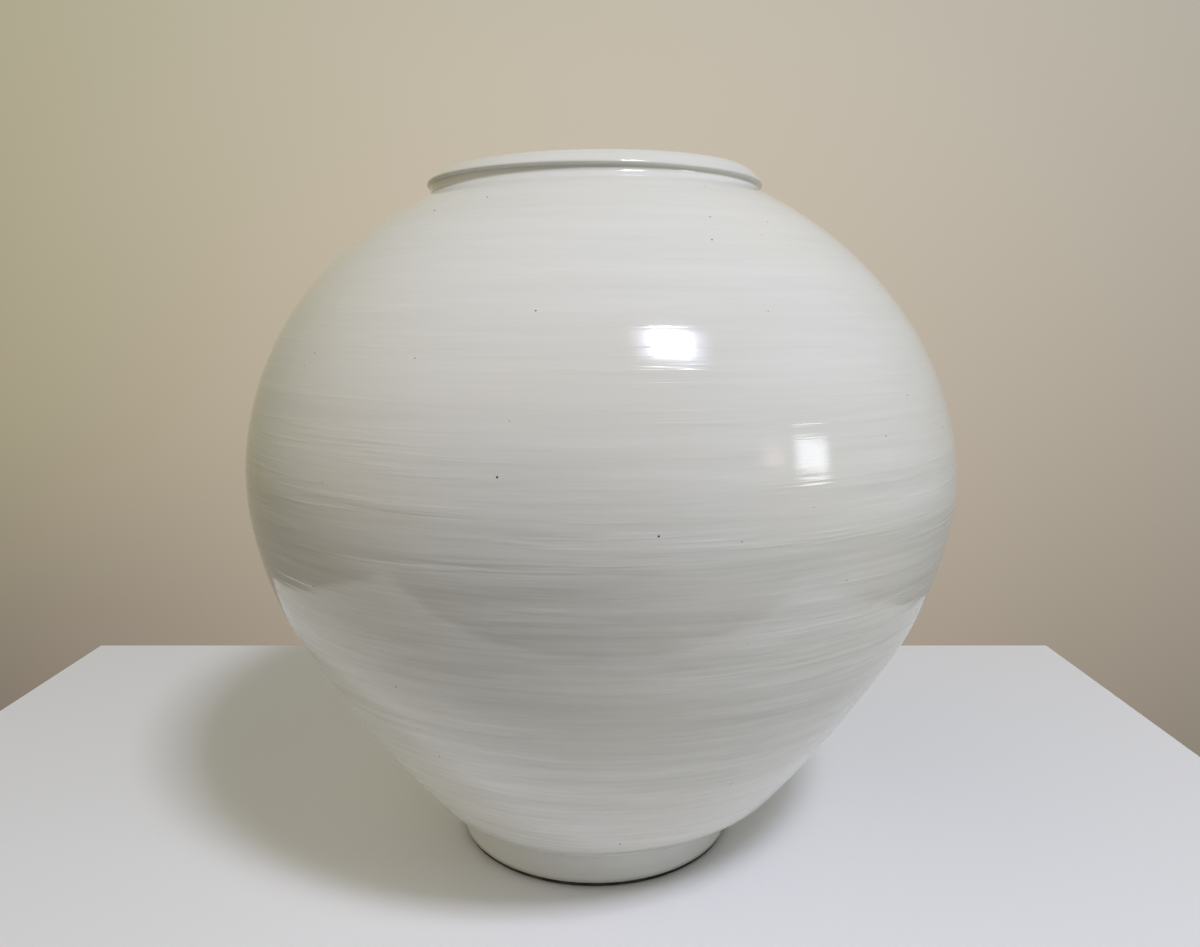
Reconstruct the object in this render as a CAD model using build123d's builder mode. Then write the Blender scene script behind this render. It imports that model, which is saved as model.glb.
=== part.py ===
from build123d import *
import os
from math import acos, asin, cos, degrees, radians, sin

# Glaze and clay thicknesses
glaze_thickness = 0.7
wall = 7.0
base_thickness = 12.0
slip_thickness = 0.6

# Foot: a turned ring that flares a little towards the bowl
foot_height = 23.1
foot_top_radius = 85.3
foot_flare = 1.7
foot_wall = 14.3
foot_edge_round = 2.0
bare_edge_height = 3.0

# Belly: the two bowls meet rim to rim at a blunt ridge
belly_radius = 204.3
seam_lean = 2.8

# Lower bowl: a round belly, a nearly straight flank and a tight turn under to the foot.
# Angles are the outline's lean from upright, in degrees.
lower_belly_curve = 207.3
flank_start = 29.6
flank_curve = 765.3
underside_curve = 67.3
underside_end = 71.4

# Upper bowl: a round belly and a flatter shoulder
upper_belly_curve = 176.3
shoulder_start = 48.8
shoulder_curve = 233.3

# Mouth: a low collar with a lip that overhangs a narrow groove and is bevelled towards the mouth
neck_radius = 91.2
neck_wall = 9.2
neck_step = 1.4
groove_height = 3.0
lip_overhang = 4.9
lip_edge_height = 1.6
lip_edge_round = 0.7
bevel_run = 8.6
bevel_rise = 6.5
mouth_drop = 6.0
crest_round = 2.0


def on_arc(center, radius, angle):
    """The point of an arc at an angle in degrees above the horizontal."""
    return (center[0] + radius * cos(radians(angle)), center[1] + radius * sin(radians(angle)))


def shifted_center(center, radius, next_radius, angle):
    """The centre of the next arc, tangent to an arc of the given centre and radius at the angle."""
    return on_arc(center, radius - next_radius, angle)


# The foot's other radii follow its top, which the bowl meets.
foot_bottom_radius = foot_top_radius - foot_flare
foot_inner_radius = foot_top_radius - foot_wall

# The flank turns until the tight turn that follows it ends at the foot's top.
lower_reach = belly_radius - foot_top_radius
belly_reach = lower_belly_curve * (cos(radians(seam_lean)) - cos(radians(flank_start)))
flank_reach_at_level = flank_curve * cos(radians(flank_start)) - underside_curve * cos(radians(underside_end))
flank_end_cosine = (flank_reach_at_level + belly_reach - lower_reach) / (flank_curve - underside_curve)
flank_end = degrees(acos(flank_end_cosine))

# Heights of the lower bowl's rim and of the arcs' centres, stacked up from the foot
underside_rise = underside_curve * (sin(radians(underside_end)) - sin(radians(flank_end)))
flank_rise = flank_curve * (sin(radians(flank_end)) - sin(radians(flank_start)))
belly_rise = lower_belly_curve * (sin(radians(flank_start)) - sin(radians(seam_lean)))
lower_rim_height = foot_height + underside_rise + flank_rise + belly_rise
upper_rim_height = lower_rim_height + slip_thickness

lower_rim = (belly_radius, lower_rim_height)
lower_belly_center = on_arc(lower_rim, -lower_belly_curve, -seam_lean)
flank_center = shifted_center(lower_belly_center, lower_belly_curve, flank_curve, -flank_start)
underside_center = shifted_center(flank_center, flank_curve, underside_curve, -flank_end)

upper_rim = (belly_radius, upper_rim_height)
upper_belly_center = on_arc(upper_rim, -upper_belly_curve, seam_lean)
shoulder_center = shifted_center(upper_belly_center, upper_belly_curve, shoulder_curve, shoulder_start)

# The shoulder ends a step outside the neck, and the collar stands on it.
shoulder_end_radius = neck_radius + neck_step
shoulder_end = degrees(acos((shoulder_end_radius - shoulder_center[0]) / shoulder_curve))
shoulder_top = on_arc(shoulder_center, shoulder_curve, shoulder_end)[1]
collar_bottom = shoulder_top + slip_thickness
mouth_radius = neck_radius - neck_wall
lip_radius = neck_radius + lip_overhang
crest_radius = lip_radius - bevel_run
lip_bottom = collar_bottom + groove_height
lip_edge_top = lip_bottom + lip_edge_height
rim_top = lip_edge_top + bevel_rise

# Where the inner faces, one wall inside the outer ones, meet the rims, the floor and the mouth
floor_height = foot_height + base_thickness
floor_angle = degrees(asin((underside_center[1] - floor_height) / (underside_curve - wall)))
lower_inner_lean = degrees(asin((lower_belly_center[1] - lower_rim_height) / (lower_belly_curve - wall)))
upper_inner_lean = degrees(asin((upper_rim_height - upper_belly_center[1]) / (upper_belly_curve - wall)))
inner_shoulder_end = degrees(asin((shoulder_top - shoulder_center[1]) / (shoulder_curve - wall)))
lower_inner_rim = on_arc(lower_belly_center, lower_belly_curve - wall, -lower_inner_lean)
upper_inner_rim = on_arc(upper_belly_center, upper_belly_curve - wall, upper_inner_lean)


def lower_outline(inset, low_angle, rim_angle):
    """Draws the lower bowl's outline, inset from its outer face, from a low angle up to the rim."""
    CenterArc(underside_center, underside_curve - inset, -low_angle, low_angle - flank_end)
    CenterArc(flank_center, flank_curve - inset, -flank_end, flank_end - flank_start)
    CenterArc(lower_belly_center, lower_belly_curve - inset, -flank_start, flank_start - rim_angle)


def upper_outline(inset, rim_angle, top_angle):
    """Draws the upper bowl's outline, inset from its outer face, from the rim up to the top angle."""
    CenterArc(upper_belly_center, upper_belly_curve - inset, rim_angle, shoulder_start - rim_angle)
    CenterArc(shoulder_center, shoulder_curve - inset, shoulder_start, top_angle - shoulder_start)


os.makedirs("parts", exist_ok=True)

# Foot ring, with its bearing edge rounded inside and out
with BuildPart() as foot_ring:
    with BuildSketch(Plane.XZ) as foot_section:
        with BuildLine():
            Polyline(
                (foot_inner_radius, 0),
                (foot_bottom_radius, 0),
                (foot_top_radius, foot_height - slip_thickness),
                (foot_inner_radius, foot_height - slip_thickness),
                close=True,
            )
        make_face()
        fillet(foot_section.vertices().group_by(Axis.Y)[0], foot_edge_round)
    revolve(axis=Axis.Z)
foot_ring.part.label = "foot_ring"
export_step(foot_ring.part, "parts/foot_ring.step")

# Slip that lutes the foot ring to the lower bowl
with BuildPart() as foot_slip:
    with BuildSketch(Plane.XZ) as foot_slip_section:
        with BuildLine():
            Polyline(
                (foot_inner_radius, foot_height - slip_thickness),
                (foot_top_radius, foot_height - slip_thickness),
                (foot_top_radius, foot_height),
                (foot_inner_radius, foot_height),
                close=True,
            )
        make_face()
    revolve(axis=Axis.Z)
foot_slip.part.label = "foot_slip"
export_step(foot_slip.part, "parts/foot_slip.step")

# Lower bowl, with a flat base that the foot is luted to
with BuildPart() as lower_bowl:
    with BuildSketch(Plane.XZ) as lower_section:
        with BuildLine():
            lower_outline(0, underside_end, seam_lean)
            Line(lower_rim, lower_inner_rim)
            lower_outline(wall, floor_angle, lower_inner_lean)
            Polyline(
                on_arc(underside_center, underside_curve - wall, -floor_angle),
                (0, floor_height),
                (0, foot_height),
                (foot_top_radius, foot_height),
            )
        make_face()
    revolve(axis=Axis.Z)
lower_bowl.part.label = "lower_bowl"
export_step(lower_bowl.part, "parts/lower_bowl.step")

# Slip between the two bowls' rims
with BuildPart() as waist_slip:
    with BuildSketch(Plane.XZ) as waist_slip_section:
        with BuildLine():
            Polyline(lower_inner_rim, lower_rim, upper_rim, upper_inner_rim, close=True)
        make_face()
    revolve(axis=Axis.Z)
waist_slip.part.label = "waist_slip"
export_step(waist_slip.part, "parts/waist_slip.step")

# Upper bowl, cut flat under the collar and bored to the mouth's size
with BuildPart() as upper_bowl:
    with BuildSketch(Plane.XZ) as upper_section:
        with BuildLine():
            upper_outline(0, seam_lean, shoulder_end)
            Line(
                (shoulder_end_radius, shoulder_top),
                on_arc(shoulder_center, shoulder_curve - wall, inner_shoulder_end),
            )
            upper_outline(wall, upper_inner_lean, inner_shoulder_end)
            Line(upper_inner_rim, upper_rim)
        make_face()
        Rectangle(mouth_radius, shoulder_top, align=Align.MIN, mode=Mode.SUBTRACT)
    revolve(axis=Axis.Z)
upper_bowl.part.label = "upper_bowl"
export_step(upper_bowl.part, "parts/upper_bowl.step")

# Slip between the upper bowl and the collar
with BuildPart() as neck_slip:
    with BuildSketch(Plane.XZ) as neck_slip_section:
        with BuildLine():
            Polyline(
                (mouth_radius, shoulder_top),
                (neck_radius, shoulder_top),
                (neck_radius, collar_bottom),
                (mouth_radius, collar_bottom),
                close=True,
            )
        make_face()
    revolve(axis=Axis.Z)
neck_slip.part.label = "neck_slip"
export_step(neck_slip.part, "parts/neck_slip.step")

# Mouth rim: the collar, its overhanging lip and the bevel up to the crest
with BuildPart() as mouth_rim:
    with BuildSketch(Plane.XZ) as rim_section:
        with BuildLine():
            Polyline(
                (mouth_radius, collar_bottom),
                (neck_radius, collar_bottom),
                (neck_radius, lip_bottom),
                (lip_radius, lip_bottom),
                (lip_radius, lip_edge_top),
                (crest_radius, rim_top),
                (mouth_radius, rim_top - mouth_drop),
                close=True,
            )
        make_face()
        fillet(rim_section.vertices().group_by(Axis.X)[-1], lip_edge_round)
        fillet(rim_section.vertices().group_by(Axis.Y)[-1], crest_round)
    revolve(axis=Axis.Z)
mouth_rim.part.label = "mouth_rim"
export_step(mouth_rim.part, "parts/mouth_rim.step")

# Section of all the glaze: an even coat round the clay, wiped from the foot's bearing edge
with BuildSketch(Plane.XZ) as glaze_section:
    clay_sections = [
        foot_section,
        foot_slip_section,
        lower_section,
        waist_slip_section,
        upper_section,
        neck_slip_section,
        rim_section,
    ]
    for section in clay_sections:
        add(section.sketch_local)
    offset(amount=glaze_thickness)
    for section in clay_sections:
        add(section.sketch_local, mode=Mode.SUBTRACT)
    with Locations((0, bare_edge_height)):
        Rectangle(
            2 * belly_radius,
            bare_edge_height + glaze_thickness,
            align=(Align.CENTER, Align.MAX),
            mode=Mode.SUBTRACT,
        )
    Rectangle(
        2 * glaze_thickness,
        2 * rim_top,
        align=(Align.MAX, Align.CENTER),
        mode=Mode.SUBTRACT,
    )
glaze_faces = glaze_section.sketch.faces().sort_by(SortBy.AREA)

# Glaze over the outside, the lip and the inside
with BuildPart() as glaze_coat:
    revolve(glaze_faces[-1], axis=Axis.Z)
glaze_coat.part.label = "glaze_coat"
export_step(glaze_coat.part, "parts/glaze_coat.step")

# Glaze under the base, inside the foot ring
with BuildPart() as foot_well_glaze:
    revolve(glaze_faces[0], axis=Axis.Z)
foot_well_glaze.part.label = "foot_well_glaze"
export_step(foot_well_glaze.part, "parts/foot_well_glaze.step")
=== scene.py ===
import math

import bmesh
import bpy
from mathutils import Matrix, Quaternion, Vector, noise
from mathutils.geometry import intersect_sphere_sphere_2d


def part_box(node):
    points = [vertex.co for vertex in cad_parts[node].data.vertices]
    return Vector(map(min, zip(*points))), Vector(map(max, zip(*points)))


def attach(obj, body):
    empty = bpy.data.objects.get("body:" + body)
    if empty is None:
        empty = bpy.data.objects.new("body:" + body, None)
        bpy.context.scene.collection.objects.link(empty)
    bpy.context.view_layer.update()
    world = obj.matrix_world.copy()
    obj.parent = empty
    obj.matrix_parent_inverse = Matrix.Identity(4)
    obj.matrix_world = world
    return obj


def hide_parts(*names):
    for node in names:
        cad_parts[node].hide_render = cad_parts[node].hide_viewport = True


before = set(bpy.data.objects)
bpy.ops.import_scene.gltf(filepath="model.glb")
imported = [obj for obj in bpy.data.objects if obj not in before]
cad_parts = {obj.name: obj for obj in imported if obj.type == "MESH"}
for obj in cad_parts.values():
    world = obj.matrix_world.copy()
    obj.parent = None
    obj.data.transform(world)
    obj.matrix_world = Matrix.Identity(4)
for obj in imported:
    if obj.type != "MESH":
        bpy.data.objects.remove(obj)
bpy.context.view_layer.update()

# Foot ring: a turned ring of porcelain clay, luted under the bowl.
# Glaze covers its sides. Only the bearing edge is bare, wiped clean so that it didn't stick in the kiln.
# The bare clay is dry and sandy, and near-black up to the glaze: partly scorch, partly painted shadow along
# the foot's contact line.
mm = 0.001
clay_colour = "#CFC4B0"
# Near-black colour above the bearing face: partly scorch, partly painted shadow under the foot's edge
scorched_and_shadowed_clay_colour = "#1F1712"
clay_roughness = 0.85
grit_size = 0.8 * mm
grit_relief = 0.06 * mm
grit_tint = 0.25
scorch_and_shadow_rise = 0.3 * mm
scorch_and_shadow_patch = 12 * mm
scorch_and_shadow_patch_start = 0.3
scorch_and_shadow_patch_full = 0.6
weakest_scorch_and_shadow = 0.9
# A colour mix's sockets: the share of the second colour, the two colours, and the result
mix_share = 0
mix_from = 6
mix_to = 7
mix_result = 2


def linear(hex_colour):
    """The linear colour of an sRGB hex value."""
    channels = [int(hex_colour[i:i + 2], 16) / 255 for i in (1, 3, 5)]
    return [c / 12.92 if c <= 0.04045 else ((c + 0.055) / 1.055) ** 2.4 for c in channels] + [1]


def add_node(tree, kind, sockets, **settings):
    """Adds a node with its settings, and sets or links each of its sockets."""
    node = tree.nodes.new("ShaderNode" + kind)
    for setting, value in settings.items():
        setattr(node, setting, value)
    for socket, value in sockets.items():
        if isinstance(value, bpy.types.NodeSocket):
            tree.links.new(value, node.inputs[socket])
        else:
            node.inputs[socket].default_value = value
    return node


def new_finish(name):
    """A new material, with its node tree, its shader and the place on the piece that its patterns follow."""
    material = bpy.data.materials.new(name)
    material.use_nodes = True
    tree = material.node_tree
    place = add_node(tree, "TexCoord", {}).outputs["Object"]
    return material, tree, tree.nodes["Principled BSDF"], place


def dress(node, material):
    """Gives a CAD node its finish."""
    node.data.materials.clear()
    node.data.materials.append(material)


# Bare porcelain: dry and matt, with a sandy grain, pale where it stands and near-black up its sides, partly
# scorch and partly painted contact shadow
bare_porcelain, clay_tree, clay_shader, clay_place = new_finish("bare_fired_porcelain")
grit = add_node(clay_tree, "TexNoise", {"Vector": clay_place, "Scale": 1 / grit_size, "Detail": 3.0})
clay_height = add_node(clay_tree, "SeparateXYZ", {"Vector": clay_place}).outputs["Z"]
up_the_side = add_node(clay_tree, "MapRange", {"Value": clay_height, "From Max": scorch_and_shadow_rise})
patches = add_node(clay_tree, "TexNoise", {"Vector": clay_place, "Scale": 1 / scorch_and_shadow_patch, "Detail": 2.0})
patchiness = add_node(
    clay_tree,
    "MapRange",
    {
        "Value": patches.outputs["Fac"],
        "From Min": scorch_and_shadow_patch_start,
        "From Max": scorch_and_shadow_patch_full,
        "To Min": weakest_scorch_and_shadow,
    },
)
# The dark share rises up the side from the bearing face: partly scorch, partly painted contact shadow
scorch_and_shadow = add_node(
    clay_tree, "Math", {0: up_the_side.outputs[0], 1: patchiness.outputs[0]}, operation="MULTIPLY"
)
scorched_and_shadowed = add_node(
    clay_tree,
    "Mix",
    {mix_share: scorch_and_shadow.outputs[0], mix_from: linear(clay_colour), mix_to: linear(scorched_and_shadowed_clay_colour)},
    data_type="RGBA",
)
gritty = add_node(
    clay_tree,
    "Mix",
    {mix_share: grit_tint, mix_from: scorched_and_shadowed.outputs[mix_result], mix_to: grit.outputs["Color"]},
    data_type="RGBA",
    blend_type="SOFT_LIGHT",
)
grit_bump = add_node(clay_tree, "Bump", {"Height": grit.outputs["Fac"], "Distance": grit_relief})
clay_tree.links.new(gritty.outputs[mix_result], clay_shader.inputs["Base Color"])
clay_tree.links.new(grit_bump.outputs["Normal"], clay_shader.inputs["Normal"])
clay_shader.inputs["Roughness"].default_value = clay_roughness

dress(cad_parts["foot_ring"], bare_porcelain)

# Slip under the bowl: the smear of liquid clay that lutes the foot ring to it, fired hard.
# It is the same porcelain without the grit, hidden by the glaze all round.
slip_colour = "#D3CABA"
slip_streak_colour = "#C2B7A3"
slip_roughness = 0.8
slip_streak = 5 * mm
slip_relief = 0.05 * mm

# Fired slip: matt and smooth, with faint streaks from the brush that laid it on
fired_slip, slip_tree, slip_shader, slip_place = new_finish("fired_luting_slip")
slip_smear = add_node(slip_tree, "TexNoise", {"Vector": slip_place, "Scale": 1 / slip_streak, "Detail": 2.0})
slip_tone = add_node(
    slip_tree,
    "Mix",
    {
        mix_share: slip_smear.outputs["Fac"],
        mix_from: linear(slip_colour),
        mix_to: linear(slip_streak_colour),
    },
    data_type="RGBA",
)
slip_bump = add_node(slip_tree, "Bump", {"Height": slip_smear.outputs["Fac"], "Distance": slip_relief})
slip_tree.links.new(slip_tone.outputs[mix_result], slip_shader.inputs["Base Color"])
slip_tree.links.new(slip_bump.outputs["Normal"], slip_shader.inputs["Normal"])
slip_shader.inputs["Roughness"].default_value = slip_roughness

dress(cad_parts["foot_slip"], fired_slip)

# Lower and upper bowl, with the slip between their rims: two bowls thrown apart and luted rim to rim.
# Fingers left soft level rings in the clay. It settled in drying, so the belly stands a little to the right
# of the foot and the mouth. Glaze covers the bowls inside and out.
foot_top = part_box("lower_bowl")[0].z
seam_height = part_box("waist_slip")[0].z
shoulder_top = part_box("upper_bowl")[1].z
collar_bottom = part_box("mouth_rim")[0].z
crest_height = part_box("mouth_rim")[1].z
lip_bottom = 391.2 * mm
lip_edge = 392.8 * mm
lean_reach = 4.0 * mm
lean_rise = 19 * mm
lean_softness = 0.1
shoulder_tilt = 0.010
shoulder_tilt_depth = 60 * mm
crest_tilt = 0.012
lip_lift = 0.7 * mm
ring_spacing = 28 * mm
ring_depth = 0.04 * mm
ring_variation = 0.8
# Units of noise from one crest to the next
noise_wave = 2
weld_distance = 0.001 * mm


def smooth_step(share):
    """Rises smoothly from 0 to 1 while the share goes from 0 to 1."""
    share = min(max(share, 0), 1)
    return share * share * (3 - 2 * share)


def lean_at(height):
    """How far the clay at a height stands to the right: all of it up to the seam, less towards the mouth."""
    above_seam = (height - seam_height) / (shoulder_top - seam_height)
    given_back = (above_seam + math.hypot(above_seam, lean_softness)) / 2
    return lean_reach * smooth_step((height - foot_top) / lean_rise) * max(1 - given_back, 0)


def tilt_at(height):
    """How steeply the clay at a height rises to the right: shoulder and crest do, the lip's edge is level."""
    if height > lip_bottom:
        return crest_tilt * smooth_step((height - lip_edge) / (crest_height - lip_edge))
    if height > collar_bottom:
        return shoulder_tilt * (lip_bottom - height) / (lip_bottom - collar_bottom)
    return shoulder_tilt * smooth_step(1 - (collar_bottom - height) / shoulder_tilt_depth)


def lift_at(height):
    """How far the clay at a height was pressed up: most just under the lip, which makes the lip thin."""
    above_groove = smooth_step((height - shoulder_top) / (lip_bottom - shoulder_top))
    return lip_lift * above_groove * smooth_step((lip_edge - height) / (lip_edge - lip_bottom))


def settle(shape):
    """Moves a shape's points to where the soft clay settled, with its rings, its lean and its tilt."""
    for point in shape.verts:
        height = point.co.z
        outward = Vector((point.co.x, point.co.y, 0)).normalized()
        ring_place = outward * ring_variation + Vector((0, 0, noise_wave * height / ring_spacing))
        ring = noise.noise(ring_place)
        point.co.z += tilt_at(height) * point.co.x + lift_at(height)
        point.co.x += lean_at(height)
        point.co += outward * ring * ring_depth


def make_piece(shape, name, material, node):
    """Makes a finished mesh a piece that stands for a CAD node."""
    mesh = bpy.data.meshes.new(name)
    shape.to_mesh(mesh)
    shape.free()
    mesh.materials.append(material)
    mesh.shade_smooth()
    piece = bpy.data.objects.new(name, mesh)
    bpy.context.scene.collection.objects.link(piece)
    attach(piece, "root")
    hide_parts(node)


def settled_copy(node):
    """A copy of a CAD node's mesh, merged and settled."""
    shape = bmesh.new()
    shape.from_mesh(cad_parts[node].data)
    bmesh.ops.remove_doubles(shape, verts=shape.verts, dist=weld_distance)
    settle(shape)
    return shape


make_piece(settled_copy("lower_bowl"), "thrown_lower_bowl", bare_porcelain, "lower_bowl")
make_piece(settled_copy("waist_slip"), "settled_waist_slip", fired_slip, "waist_slip")
make_piece(settled_copy("upper_bowl"), "thrown_upper_bowl", bare_porcelain, "upper_bowl")

# Mouth rim and the slip under it: a low collar with an overhanging lip, turned and luted onto the shoulder.
# Its bevelled crest stands a little higher on the right than on the left. Glaze covers it all round.
make_piece(settled_copy("neck_slip"), "settled_neck_slip", fired_slip, "neck_slip")
make_piece(settled_copy("mouth_rim"), "turned_mouth_rim", bare_porcelain, "mouth_rim")

# Glaze coat: clear glaze poured over the outside, the lip and the inside and melted to a glossy skin.
# It softens the corners, pools in the groove under the lip and above the foot,
# and shows the throwing lines of the clay as fine level streaks all round.
glaze_thickness = 0.7 * mm
thin_coat = 0.5 * mm
wall = 7.0 * mm
base_thickness = 12.0 * mm
glaze_end = 3.3 * mm
foot_flare = 1.7 * mm
foot_top_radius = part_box("foot_slip")[1].x
belly_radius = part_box("lower_bowl")[1].x
upper_rim_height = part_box("upper_bowl")[0].z
seam_lean = math.radians(2.8)
lower_belly_curve = 207.3 * mm
flank_start = math.radians(29.6)
flank_curve = 765.3 * mm
flank_end = math.radians(37.77)
underside_curve = 67.3 * mm
upper_belly_curve = 176.3 * mm
shoulder_start = math.radians(48.8)
shoulder_curve = 233.3 * mm
neck_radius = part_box("neck_slip")[1].x
neck_step = 1.4 * mm
neck_wall = 9.2 * mm
lip_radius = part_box("mouth_rim")[1].x
lip_low_round = 1.2 * mm
lip_high_round = 1.7 * mm
bevel_run = 8.6 * mm
bevel_rise = 6.5 * mm
bevel_bulge = 0.6 * mm
bevel_curve = 8.0 * mm
mouth_drop = 6.0 * mm
mouth_round = 2.0 * mm
clay_lip_round = 0.7 * mm
clay_crest_round = 2.0 * mm
ridge_curve = 130 * mm
foot_pool_round = 4.0 * mm
# Share of darker tint down the foot: partly pooled glaze, partly painted shade
foot_pooling_and_shade = 0.8
groove_pool = 3.1 * mm
groove_pool_rise = 0.6 * mm
groove_low_round = 1.8 * mm
groove_high_round = 0.5 * mm
groove_place = Vector((neck_radius, (shoulder_top + lip_bottom) / 2))
# Reach and share of darker tint in the groove under the lip: partly pooled glaze, partly painted shade
groove_pool_and_shade_reach = 4.5 * mm
groove_pooling_and_shade = 0.4
foot_corner_margin = 3.6 * mm
shoulder_margin = 4.0 * mm
outside_step = 2.4 * mm
corner_step = 0.35 * mm
inside_step = 6.0 * mm
hidden_step = 12.0 * mm
hidden_corner_step = 0.7 * mm
turn_steps = 192


def on_arc(center, radius, angle):
    """The point of an arc at an angle above the horizontal, as radius and height."""
    return Vector((center.x + radius * math.cos(angle), center.y + radius * math.sin(angle)))


lower_belly_center = on_arc(Vector((belly_radius, seam_height)), -lower_belly_curve, -seam_lean)
flank_center = on_arc(lower_belly_center, lower_belly_curve - flank_curve, -flank_start)
underside_center = on_arc(flank_center, flank_curve - underside_curve, -flank_end)
upper_belly_center = on_arc(Vector((belly_radius, upper_rim_height)), -upper_belly_curve, seam_lean)
shoulder_center = on_arc(upper_belly_center, upper_belly_curve - shoulder_curve, shoulder_start)
ridge_center = max(
    intersect_sphere_sphere_2d(
        lower_belly_center,
        lower_belly_curve - ridge_curve,
        upper_belly_center,
        upper_belly_curve - ridge_curve,
    ),
    key=lambda center: center.x,
)
shoulder_end_radius = neck_radius + neck_step
shoulder_end = math.acos((shoulder_end_radius - shoulder_center.x) / shoulder_curve)
mouth_radius = neck_radius - neck_wall
mouth_bottom_angle = math.acos((mouth_radius - shoulder_center.x) / (shoulder_curve - wall))
crest_radius = lip_radius - bevel_run
crest_top = lip_edge + bevel_rise
floor_height = foot_top + base_thickness


def run_to(shape, tip, place, step):
    """Extrudes the outline's tip in a straight run to a place."""
    start = Vector((tip.co.x, tip.co.z))
    steps = max(1, round((place - start).length / step))
    move = (place - start) / steps
    for _ in range(steps):
        tip = bmesh.ops.extrude_vert_indiv(shape, verts=[tip])["verts"][0]
        bmesh.ops.translate(shape, verts=[tip], vec=(move.x, 0, move.y))
    return tip


def turn_to(shape, tip, center, angle, step):
    """Spins the outline's tip about a centre to an angle above the horizontal."""
    start = math.atan2(tip.co.z - center.y, tip.co.x - center.x)
    turn = math.remainder(angle - start, 2 * math.pi)
    reach = math.hypot(tip.co.z - center.y, tip.co.x - center.x)
    spun = bmesh.ops.spin(
        shape,
        geom=[tip],
        cent=(center.x, 0, center.y),
        axis=(0, -1, 0),
        angle=turn,
        steps=max(1, round(abs(turn) * reach / step)),
    )
    return spun["geom_last"][0]


def round_corner(shape, tip, corner, after, rounding, step):
    """Draws a run to a corner and turns there, on an arc of the given radius, towards the next place."""
    start = Vector((tip.co.x, tip.co.z))
    along = (corner - start).normalized()
    onward = (after - corner).normalized()
    turn = math.atan2(along.cross(onward), along.dot(onward))
    cut = rounding * math.tan(abs(turn) / 2)
    tip = run_to(shape, tip, corner - along * cut, outside_step)
    left = Vector((-along.y, along.x)) * math.copysign(rounding, turn)
    center = corner - along * cut + left
    end = corner + onward * cut - center
    return turn_to(shape, tip, center, math.atan2(end.y, end.x), step)


def coated_corner(before, corner, after, coat):
    """A corner of the clay's outline, moved out square to both of its runs by the coat."""
    runs = [(corner - before).normalized(), (after - corner).normalized()]
    incoming, outgoing = [Vector((run.y, -run.x)) for run in runs]
    return corner + (incoming + outgoing) * coat / (1 + incoming.dot(outgoing))


def draw_foot(shape, coat, long_step, short_step):
    """Draws the foot's side, a coat outside the clay, and the pooled corner where it meets the bowl."""
    foot_slope = foot_flare / foot_top
    start_radius = foot_top_radius - foot_slope * (foot_top - glaze_end) + coat
    first = shape.verts.new((start_radius, 0, glaze_end))
    corner_angle = -math.acos((foot_top_radius + coat - underside_center.x) / (underside_curve + coat))
    past_angle = corner_angle + foot_corner_margin / underside_curve
    corner = on_arc(underside_center, underside_curve + coat, corner_angle)
    past_corner = on_arc(underside_center, underside_curve + coat, past_angle)
    tip = round_corner(shape, first, corner, past_corner, foot_pool_round if coat else 0, short_step)
    return first, run_to(shape, tip, past_corner, long_step)


def shoulder_end_angle(coat):
    """Where the shoulder's arc ends: the clay's at the collar's step, the skin's where the pool begins."""
    return shoulder_end - shoulder_margin / shoulder_curve if coat else shoulder_end


def draw_lip(shape, tip, coat, short_step, inner_step):
    """Draws the groove, the lip, the bevelled crest and the mouth, a coat outside the clay."""
    shoulder_edge = on_arc(shoulder_center, shoulder_curve, shoulder_end_angle(coat))
    mouth_bottom = on_arc(shoulder_center, shoulder_curve - wall, mouth_bottom_angle)
    past_angle = mouth_bottom_angle - inner_step / shoulder_curve
    pool = groove_pool if coat else 0
    pool_rise = groove_pool_rise if coat else 0
    bulge = bevel_bulge if coat else 0
    under_lip = lip_bottom + max(coat - thin_coat, 0)
    lip_corner = Vector((lip_radius, lip_edge))
    crest_corner = Vector((crest_radius, crest_top))
    bevel_outward = Vector((bevel_rise, bevel_run)).normalized()
    bevel_middle = (lip_corner + crest_corner) / 2 + bevel_outward * bulge
    corners = [
        (shoulder_edge, 0),
        (Vector((neck_radius + pool, shoulder_top + pool_rise)), groove_low_round if coat else 0),
        (Vector((neck_radius + pool, under_lip)), groove_high_round if coat else 0),
        (Vector((lip_radius, under_lip)), lip_low_round if coat else clay_lip_round),
        (lip_corner, lip_high_round if coat else clay_lip_round),
        (bevel_middle, bevel_curve if coat else 0),
        (crest_corner, clay_crest_round + coat),
        (Vector((mouth_radius, crest_top - mouth_drop)), mouth_round if coat else 0),
        (mouth_bottom, mouth_round if coat else 0),
        (on_arc(shoulder_center, shoulder_curve - wall, past_angle), 0),
    ]
    coated = []
    for (before, _), (corner, rounding), (after, _) in zip(corners, corners[1:], corners[2:]):
        coated.append((coated_corner(before, corner, after, coat), rounding))
    past_mouth = on_arc(shoulder_center, shoulder_curve - wall - coat, past_angle)
    for (corner, rounding), (after, _) in zip(coated, coated[1:] + [(past_mouth, 0)]):
        tip = round_corner(shape, tip, corner, after, rounding, short_step)
    return run_to(shape, tip, past_mouth, inner_step)


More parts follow.
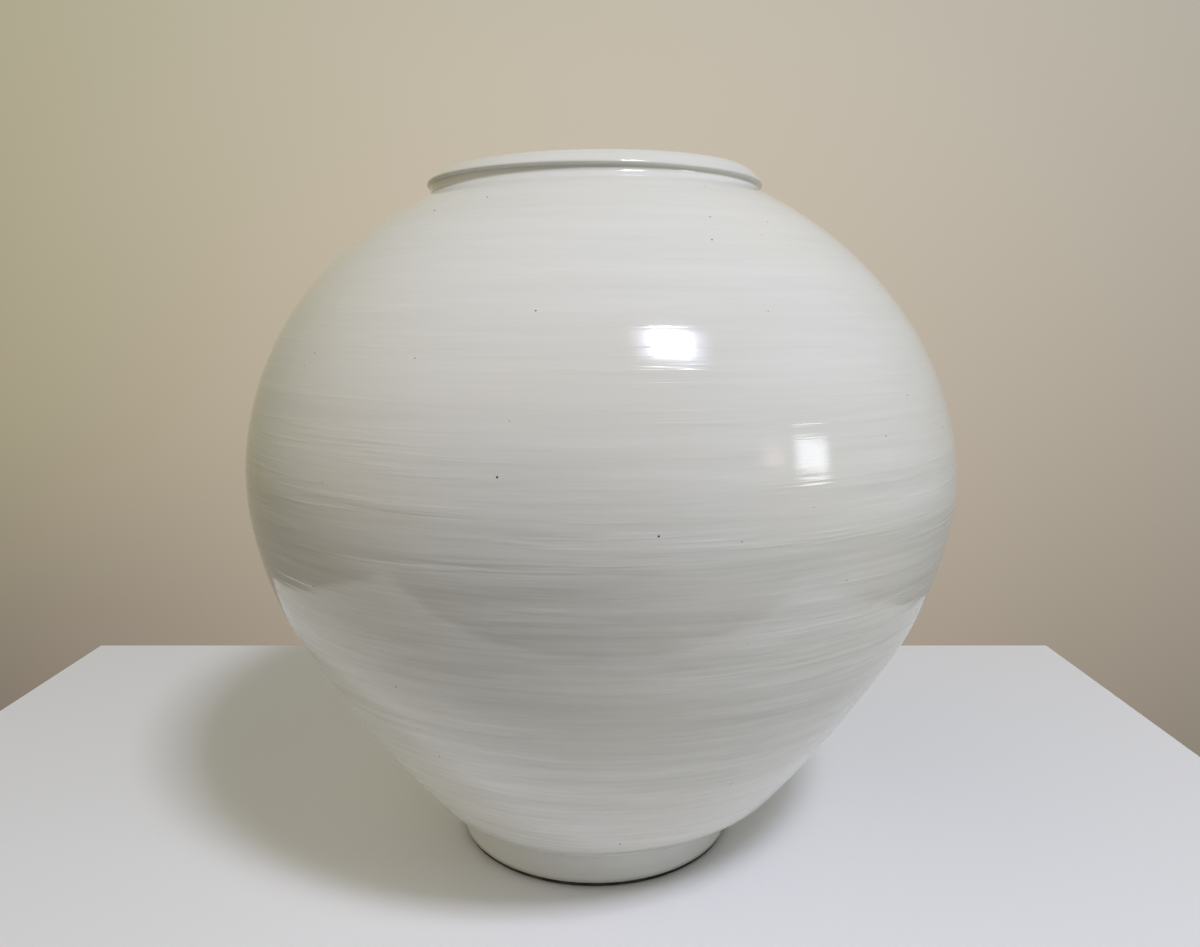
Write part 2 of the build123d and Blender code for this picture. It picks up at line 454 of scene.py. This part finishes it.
def draw_inside(shape, tip, coat, inner_step):
    """Draws the outline down the inside of both bowls, a coat off the clay, to the middle of the floor."""
    tip = turn_to(shape, tip, shoulder_center, shoulder_start, inner_step)
    upper_reach = upper_belly_curve - wall - coat
    lower_reach = lower_belly_curve - wall - coat
    upper_rim_angle = math.asin((upper_rim_height - upper_belly_center.y) / upper_reach)
    lower_rim_angle = math.asin((seam_height - lower_belly_center.y) / lower_reach)
    tip = turn_to(shape, tip, upper_belly_center, upper_rim_angle, inner_step)
    tip = run_to(shape, tip, on_arc(lower_belly_center, lower_reach, lower_rim_angle), inner_step)
    tip = turn_to(shape, tip, lower_belly_center, -flank_start, inner_step)
    tip = turn_to(shape, tip, flank_center, -flank_end, inner_step)
    floor_angle = math.asin((underside_center.y - floor_height - coat) / (underside_curve - wall - coat))
    tip = turn_to(shape, tip, underside_center, -floor_angle, inner_step)
    run_to(shape, tip, Vector((0, floor_height + coat)), inner_step)


def draw_wall(shape, coat, long_step, short_step, inner_step):
    """Draws the jar's outline, a coat off the clay, from the foot's edge over the lip to the floor inside."""
    first, tip = draw_foot(shape, coat, long_step, short_step)
    tip = turn_to(shape, tip, underside_center, -flank_end, long_step)
    tip = turn_to(shape, tip, flank_center, -flank_start, long_step)
    if coat:
        ridge_start = ridge_center - lower_belly_center
        ridge_end = ridge_center - upper_belly_center
        tip = turn_to(shape, tip, lower_belly_center, math.atan2(ridge_start.y, ridge_start.x), long_step)
        tip = turn_to(shape, tip, ridge_center, math.atan2(ridge_end.y, ridge_end.x), long_step)
    else:
        tip = turn_to(shape, tip, lower_belly_center, -seam_lean, long_step)
        tip = run_to(shape, tip, on_arc(upper_belly_center, upper_belly_curve, seam_lean), long_step)
    tip = turn_to(shape, tip, upper_belly_center, shoulder_start, long_step)
    tip = turn_to(shape, tip, shoulder_center, shoulder_end_angle(coat), long_step)
    tip = draw_lip(shape, tip, coat, short_step, inner_step)
    draw_inside(shape, tip, coat, inner_step)
    return first


glaze_shape = bmesh.new()
wall_run = glaze_shape.verts.layers.float.new("wall_run")
pooling_and_shade = glaze_shape.verts.layers.float.new("pooling_and_shade")
skin_edge = draw_wall(glaze_shape, glaze_thickness, outside_step, corner_step, inside_step)
skin_outline = list(glaze_shape.verts)
for below, above in zip(skin_outline, skin_outline[1:]):
    above[wall_run] = below[wall_run] + (above.co - below.co).length
# This share darkens the glaze in the groove under the lip and down the foot: partly pooled glaze, partly
# painted shade.
for point in skin_outline:
    place = Vector((point.co.x, point.co.z))
    in_groove = groove_pooling_and_shade * smooth_step(1 - (place - groove_place).length / groove_pool_and_shade_reach)
    on_foot = foot_pooling_and_shade * smooth_step((foot_top - place.y) / foot_pool_round)
    point[pooling_and_shade] = max(in_groove, on_foot)
clay_edge = draw_wall(glaze_shape, 0, hidden_step, hidden_corner_step, hidden_step)
glaze_shape.edges.new((skin_edge, clay_edge))
bmesh.ops.spin(
    glaze_shape,
    geom=glaze_shape.verts[:] + glaze_shape.edges[:],
    cent=(0, 0, 0),
    axis=(0, 0, 1),
    angle=2 * math.pi,
    steps=turn_steps,
    use_merge=True,
)
bmesh.ops.remove_doubles(glaze_shape, verts=glaze_shape.verts, dist=weld_distance)
bmesh.ops.recalc_face_normals(glaze_shape, faces=glaze_shape.faces)
settle(glaze_shape)

thick_glaze_colour = "#E4E4DE"
thin_glaze_colour = "#CCCCC4"
warm_glaze_colour = "#DCD8C9"
# The pooled tint, darker and cooler: partly pooled glaze, partly painted shade in the groove, down the foot
# and in the well's corner
pooled_and_shaded_glaze_colour = "#D0D2CD"
iron_speck_colour = "#2B231C"
glaze_ior = 1.65
glossiest_roughness = 0.05
dullest_roughness = 0.11
# Each layer of streaks has a width, and a variation that says how much it changes on its way round the jar
streak_layers = {
    "band": {"width": 20 * mm, "variation": 1.0},
    "streak": {"width": 5 * mm, "variation": 3.5},
    "line": {"width": 1.7 * mm, "variation": 7.0},
    "ridge": {"width": 8 * mm, "variation": 1.8},
}
streak_waviness = 0.3
band_weight = 1.5
line_weight = 0.8
tone_spread = 0.45
middle_tone = 0.5
streak_relief = 0.07 * mm
line_relief = 0.010 * mm
ridge_relief = 0.11 * mm
ridge_start_share = 0.52
ridge_crest_share = 0.75
smooth_share = 0.28
smooth_relief_share = 0.3
rough_run = 230 * mm
smooth_run = 330 * mm
mottle_size = 90 * mm
mottle_start = 0.45
mottle_full = 0.75
mottle_strength = 0.5
speck_spacing = 13 * mm
speck_radius = 0.45 * mm
speck_core = 0.7
speck_darkness = 0.95
largest_speck_shrink = 0.7
smallest_speck_shrink = 1.8


def level_layers(tree, place, run):
    """Noise that lies level round the jar, one layer for each kind of streak, spaced along the wall's run."""
    flat_place = add_node(tree, "VectorMath", {0: place, 1: (1, 1, 0)}, operation="MULTIPLY")
    direction = add_node(tree, "VectorMath", {0: flat_place.outputs[0]}, operation="NORMALIZE").outputs[0]
    layers = {}
    for name, layer in streak_layers.items():
        around = add_node(tree, "VectorMath", {0: direction, "Scale": layer["variation"]}, operation="SCALE")
        up = add_node(tree, "Math", {0: run, 1: noise_wave / layer["width"]}, operation="MULTIPLY")
        lift = add_node(tree, "CombineXYZ", {"Z": up.outputs[0]})
        layer_place = add_node(
            tree, "VectorMath", {0: around.outputs[0], 1: lift.outputs[0]}, operation="ADD"
        )
        waves = add_node(
            tree,
            "TexNoise",
            {"Vector": layer_place.outputs[0], "Scale": 1.0, "Detail": 3.0, "Distortion": streak_waviness},
        )
        layers[name] = waves.outputs["Fac"]
    return layers


def thinness(tree, layers, thrown):
    """How thin the glaze looks, from 0 to 1: bands, streaks and lines together, weaker where it is smooth."""
    broad = add_node(
        tree, "Math", {0: layers["band"], 1: band_weight, 2: layers["streak"]}, operation="MULTIPLY_ADD"
    )
    tone_sum = add_node(
        tree, "Math", {0: layers["line"], 1: line_weight, 2: broad.outputs[0]}, operation="MULTIPLY_ADD"
    )
    middle_sum = (band_weight + 1 + line_weight) * middle_tone
    tone = add_node(
        tree,
        "MapRange",
        {
            "Value": tone_sum.outputs[0],
            "From Min": middle_sum - tone_spread,
            "From Max": middle_sum + tone_spread,
            "To Min": -middle_tone,
            "To Max": middle_tone,
        },
    )
    return add_node(
        tree, "Math", {0: tone.outputs[0], 1: thrown, 2: middle_tone}, operation="MULTIPLY_ADD"
    ).outputs[0]


def warm_mottle(tree, place):
    """How far the glaze turns warm at a place, in large soft patches."""
    mottle = add_node(tree, "TexNoise", {"Vector": place, "Scale": 1 / mottle_size, "Detail": 2.0})
    return add_node(
        tree,
        "MapRange",
        {
            "Value": mottle.outputs["Fac"],
            "From Min": mottle_start,
            "From Max": mottle_full,
            "To Max": mottle_strength,
        },
    ).outputs[0]


def iron_specks(tree, place):
    """How dark the iron specks make a place: one speck in each cell, of several sizes."""
    cells = add_node(tree, "TexVoronoi", {"Vector": place, "Scale": 1 / speck_spacing})
    chance = add_node(tree, "SeparateXYZ", {"Vector": cells.outputs["Color"]})
    shrink = add_node(
        tree,
        "MapRange",
        {"Value": chance.outputs["X"], "To Min": largest_speck_shrink, "To Max": smallest_speck_shrink},
    )
    from_speck = add_node(
        tree, "Math", {0: cells.outputs["Distance"], 1: shrink.outputs[0]}, operation="MULTIPLY"
    )
    return add_node(
        tree,
        "MapRange",
        {
            "Value": from_speck.outputs[0],
            "From Min": speck_core * speck_radius / speck_spacing,
            "From Max": speck_radius / speck_spacing,
            "To Min": speck_darkness,
            "To Max": 0.0,
        },
    ).outputs[0]


def streak_bump(tree, layers, thrown):
    """The relief of the streaks and lines and of a few higher ridges, lower where the glaze is smooth."""
    few_ridges = add_node(
        tree,
        "MapRange",
        {
            "Value": layers["ridge"],
            "From Min": ridge_start_share,
            "From Max": ridge_crest_share,
            "To Max": ridge_relief / mm,
        },
        interpolation_type="SMOOTHSTEP",
    )
    relief = few_ridges.outputs[0]
    for layer, height in (("streak", streak_relief), ("line", line_relief)):
        relief = add_node(
            tree, "Math", {0: layers[layer], 1: height / mm, 2: relief}, operation="MULTIPLY_ADD"
        ).outputs[0]
    worn = add_node(tree, "MapRange", {"Value": thrown, "To Min": smooth_relief_share})
    softened = add_node(tree, "Math", {0: relief, 1: worn.outputs[0]}, operation="MULTIPLY")
    return add_node(tree, "Bump", {"Height": softened.outputs[0], "Distance": mm}).outputs["Normal"]


def make_glaze(name, measure_run, measure_pool_and_shade):
    """Makes a clear glaze whose streaks lie level round the jar, spaced along the run of its wall."""
    glaze, tree, shader, place = new_finish(name)
    run = measure_run(tree, place)
    layers = level_layers(tree, place, run)
    thrown = add_node(
        tree,
        "MapRange",
        {"Value": run, "From Min": rough_run, "From Max": smooth_run, "To Min": 1.0, "To Max": smooth_share},
        interpolation_type="SMOOTHSTEP",
    ).outputs[0]
    colour = linear(thick_glaze_colour)
    colours_over = (
        (thinness(tree, layers, thrown), thin_glaze_colour),
        (warm_mottle(tree, place), warm_glaze_colour),
        (measure_pool_and_shade(tree, place), pooled_and_shaded_glaze_colour),
        (iron_specks(tree, place), iron_speck_colour),
    )
    for share, colour_over in colours_over:
        colour = add_node(
            tree,
            "Mix",
            {mix_share: share, mix_from: colour, mix_to: linear(colour_over)},
            data_type="RGBA",
        ).outputs[mix_result]
    gloss = add_node(
        tree,
        "MapRange",
        {"Value": layers["streak"], "To Min": glossiest_roughness, "To Max": dullest_roughness},
    )
    tree.links.new(colour, shader.inputs["Base Color"])
    tree.links.new(streak_bump(tree, layers, thrown), shader.inputs["Normal"])
    tree.links.new(gloss.outputs[0], shader.inputs["Roughness"])
    shader.inputs["IOR"].default_value = glaze_ior
    return glaze


def run_of_coat(tree, place):
    """How far up the outside, over the lip and down the inside a place lies, as the coat's mesh holds it."""
    return add_node(tree, "Attribute", {}, attribute_name="wall_run").outputs["Fac"]


def pool_and_shade_of_coat(tree, place):
    """How far a place takes the darker pooled tint, as the coat's mesh holds it: partly pooled glaze, partly
    painted shade in the groove and down the foot.
    """
    return add_node(tree, "Attribute", {}, attribute_name="pooling_and_shade").outputs["Fac"]


# Clear glaze on porcelain: a hard gloss over white clay, with level streaks and soft bands of tone,
# a cool grey tint in the groove and down the foot, partly pooled glaze and partly painted shade, and a few
# dark iron specks
clear_glaze = make_glaze("clear_glaze_on_porcelain", run_of_coat, pool_and_shade_of_coat)
make_piece(glaze_shape, "poured_glaze_coat", clear_glaze, "glaze_coat")

# Foot-well glaze: the patch of glaze under the base, inside the foot ring.
# It was poured into the well and wiped back from the bearing edge, so it is thickest in the well's corner.
well_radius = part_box("foot_well_glaze")[1].x


def run_of_well(tree, place):
    """How far from the axis, and up from the floor, a place in the well lies."""
    parts = add_node(tree, "SeparateXYZ", {"Vector": place})
    level = add_node(tree, "CombineXYZ", {"X": parts.outputs["X"], "Y": parts.outputs["Y"]})
    reach = add_node(tree, "VectorMath", {0: level.outputs[0]}, operation="LENGTH")
    return add_node(
        tree, "Math", {0: reach.outputs["Value"], 1: parts.outputs["Z"]}, operation="ADD"
    ).outputs[0]


def pool_and_shade_of_well(tree, place):
    """How far the well takes the darker pooled tint: most in its corner, where the roof meets the ring,
    partly pooled glaze and partly painted shade.
    """
    return add_node(
        tree,
        "MapRange",
        {"Value": run_of_well(tree, place), "From Min": well_radius, "From Max": well_radius + foot_top},
        interpolation_type="SMOOTHSTEP",
    ).outputs[0]


# Clear glaze in the well: the same gloss, with turning rings round the axis
well_glaze = make_glaze("clear_glaze_in_the_foot_well", run_of_well, pool_and_shade_of_well)
dress(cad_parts["foot_well_glaze"], well_glaze)

# Floor: a plain pale painted board for the jar to stand on.
# It lies flat under the foot and is wide enough to show in the gloss.
floor_left = -490 * mm
floor_right = 444 * mm
floor_front = -318 * mm
floor_back = 313 * mm
floor_thickness = 20 * mm
floor_colour = "#E7E8EA"
floor_roughness = 0.6
roller_size = 3 * mm
roller_relief = 0.02 * mm
floor_shape = bmesh.new()
bmesh.ops.create_cube(floor_shape, size=1)
bmesh.ops.scale(
    floor_shape,
    verts=floor_shape.verts,
    vec=(floor_right - floor_left, floor_back - floor_front, floor_thickness),
)
bmesh.ops.translate(
    floor_shape,
    verts=floor_shape.verts,
    vec=((floor_left + floor_right) / 2, (floor_front + floor_back) / 2, -floor_thickness / 2),
)
floor_mesh = bpy.data.meshes.new("floor")
floor_shape.to_mesh(floor_mesh)
floor_shape.free()
floor = bpy.data.objects.new("floor", floor_mesh)
bpy.context.scene.collection.objects.link(floor)

# Matt white paint: even and pale, with a faint roller texture
floor_paint, floor_tree, floor_shader, floor_place = new_finish("matt_white_paint")
roller = add_node(floor_tree, "TexNoise", {"Vector": floor_place, "Scale": 1 / roller_size, "Detail": 2.0})
roller_bump = add_node(floor_tree, "Bump", {"Height": roller.outputs["Fac"], "Distance": roller_relief})
floor_tree.links.new(roller_bump.outputs["Normal"], floor_shader.inputs["Normal"])
floor_shader.inputs["Base Color"].default_value = linear(floor_colour)
floor_shader.inputs["Roughness"].default_value = floor_roughness
floor_mesh.materials.append(floor_paint)

# Studio light: broad soft lights from the front, the sides and behind, and small soft boxes
# at the front right that light the jar and show in its gloss.
# Each soft light is brightest in its own direction, fades away from it and ends near the horizon or below it.

# Elevations in degrees between which a soft light ends
level_end = {"dark_below": -22, "lit_above": -4}
low_end = {"dark_below": -48, "lit_above": -26}
soft_lights = {
    "front left": {
        "bearing": -60,
        "elevation": 35,
        "end": level_end,
        "colour": "#FFF3E6",
        "brightness": 0.828,
    },
    "front right": {
        "bearing": 60,
        "elevation": 0,
        "end": low_end,
        "colour": "#FFFFF5",
        "brightness": 0.502,
    },
    "left": {
        "bearing": -110,
        "elevation": 20,
        "end": level_end,
        "colour": "#FDFF88",
        "brightness": 0.179,
    },
    "right": {
        "bearing": 110,
        "elevation": 20,
        "end": low_end,
        "colour": "#FDFFF4",
        "brightness": 0.256,
    },
    "behind": {
        "bearing": 180,
        "elevation": 0,
        "end": low_end,
        "colour": "#FFEBD3",
        "brightness": 0.485,
    },
    "above, behind": {
        "bearing": 180,
        "elevation": 45,
        "end": low_end,
        "colour": "#ECFFFA",
        "brightness": 0.168,
    },
}
soft_light_focus = 3


def way_to(bearing, elevation):
    """The direction at a bearing, from the viewer's side round to the right, and an elevation, in degrees."""
    side, rise = math.radians(bearing), math.radians(elevation)
    return Vector((math.sin(side) * math.cos(rise), -math.cos(side) * math.cos(rise), math.sin(rise)))


studio = bpy.data.worlds.new("studio")
bpy.context.scene.world = studio
studio.use_nodes = True
studio_tree = studio.node_tree
studio_way = add_node(studio_tree, "TexCoord", {}).outputs["Generated"]
studio_height = add_node(studio_tree, "SeparateXYZ", {"Vector": studio_way}).outputs["Z"]
all_light = add_node(studio_tree, "CombineXYZ", {}).outputs[0]
for light in soft_lights.values():
    aim = way_to(light["bearing"], light["elevation"])
    toward = add_node(studio_tree, "VectorMath", {0: studio_way, 1: aim}, operation="DOT_PRODUCT")
    facing = add_node(studio_tree, "Math", {0: toward.outputs["Value"], 1: 0.0}, operation="MAXIMUM")
    focused = add_node(studio_tree, "Math", {0: facing.outputs[0], 1: soft_light_focus}, operation="POWER")
    level = add_node(
        studio_tree,
        "MapRange",
        {
            "Value": studio_height,
            "From Min": way_to(0, light["end"]["dark_below"]).z,
            "From Max": way_to(0, light["end"]["lit_above"]).z,
            "To Max": light["brightness"],
        },
        interpolation_type="SMOOTHSTEP",
    )
    strength = add_node(
        studio_tree, "Math", {0: focused.outputs[0], 1: level.outputs[0]}, operation="MULTIPLY"
    )
    tinted = add_node(
        studio_tree,
        "VectorMath",
        {0: linear(light["colour"])[:3], "Scale": strength.outputs[0]},
        operation="SCALE",
    )
    all_light = add_node(
        studio_tree, "VectorMath", {0: all_light, 1: tinted.outputs[0]}, operation="ADD"
    ).outputs[0]
studio_tree.links.new(all_light, studio_tree.nodes["Background"].inputs["Color"])


def add_soft_box(name, aim, bearing, elevation, distance, size, turn, fade, colour, brightness):
    """Hangs a soft box that faces a point of the jar, turned on its own face and fading towards its edges."""
    width, height = size
    away = way_to(bearing, elevation)
    light = bpy.data.lights.new(name, "AREA")
    light.shape = "RECTANGLE"
    light.size = width
    light.size_y = height
    light.energy = brightness * math.pi * width * height
    light.color = linear(colour)[:3]
    light.use_nodes = True
    tree = light.node_tree
    spot = add_node(tree, "NewGeometry", {}).outputs["Parametric"]
    spot_parts = add_node(tree, "SeparateXYZ", {"Vector": spot})
    middle = 0.5
    from_sides = []
    for part in ("X", "Y"):
        margin = add_node(tree, "Math", {0: spot_parts.outputs[part], 1: middle}, operation="PINGPONG")
        lit = add_node(
            tree,
            "MapRange",
            {"Value": margin.outputs[0], "From Max": fade},
            interpolation_type="SMOOTHSTEP",
        )
        from_sides.append(lit.outputs[0])
    lit_spot = add_node(tree, "Math", {0: from_sides[0], 1: from_sides[1]}, operation="MULTIPLY")
    tree.links.new(lit_spot.outputs[0], tree.nodes["Emission"].inputs["Strength"])
    box = bpy.data.objects.new(name, light)
    box.location = aim + away * distance
    own_turn = Quaternion((0, 0, 1), math.radians(turn))
    box.rotation_euler = (away.to_track_quat("Z", "Y") @ own_turn).to_euler()
    bpy.context.scene.collection.objects.link(box)


key_stand = {"aim": Vector((32, -180, 307)) * mm, "bearing": 33.6, "elevation": 54.8, "turn": -19}
add_soft_box(
    "key_soft_box",
    **key_stand,
    distance=1800 * mm,
    size=(360 * mm, 280 * mm),
    fade=0.12,
    colour="#EEF0FF",
    brightness=91,
)
add_soft_box(
    "key_glow",
    **key_stand,
    distance=1850 * mm,
    size=(800 * mm, 520 * mm),
    fade=0.30,
    colour="#E0E5FF",
    brightness=6,
)
add_soft_box(
    "faint_soft_box",
    aim=Vector((74, -187, 262)) * mm,
    bearing=53.4,
    elevation=15.2,
    turn=-17,
    distance=2000 * mm,
    size=(440 * mm, 360 * mm),
    fade=0.40,
    colour="#FFE6DC",
    brightness=1.6,
)
add_soft_box(
    "side_soft_box",
    aim=Vector((91, -180, 261)) * mm,
    bearing=66.1,
    elevation=12.9,
    turn=-17,
    distance=2000 * mm,
    size=(540 * mm, 460 * mm),
    fade=0.30,
    colour="#F4F8FF",
    brightness=6,
)

# Camera: close to the jar, at the height of its shoulder and looking slightly down.
# Its lens is fairly wide, so the near belly looks large beside the mouth and the foot.
camera_lens = 27.77
camera_sensor = 36
camera_place = Vector((3, -562.5, 315.6)) * mm
camera_dip = math.radians(9.297)
camera_data = bpy.data.cameras.new("camera")
camera_data.lens = camera_lens
camera_data.sensor_width = camera_sensor
camera = bpy.data.objects.new("camera", camera_data)
camera.location = camera_place
camera.rotation_euler = (math.pi / 2 - camera_dip, 0, 0)
bpy.context.scene.collection.objects.link(camera)
bpy.context.scene.camera = camera
bpy.context.scene.view_settings.view_transform = "Standard"
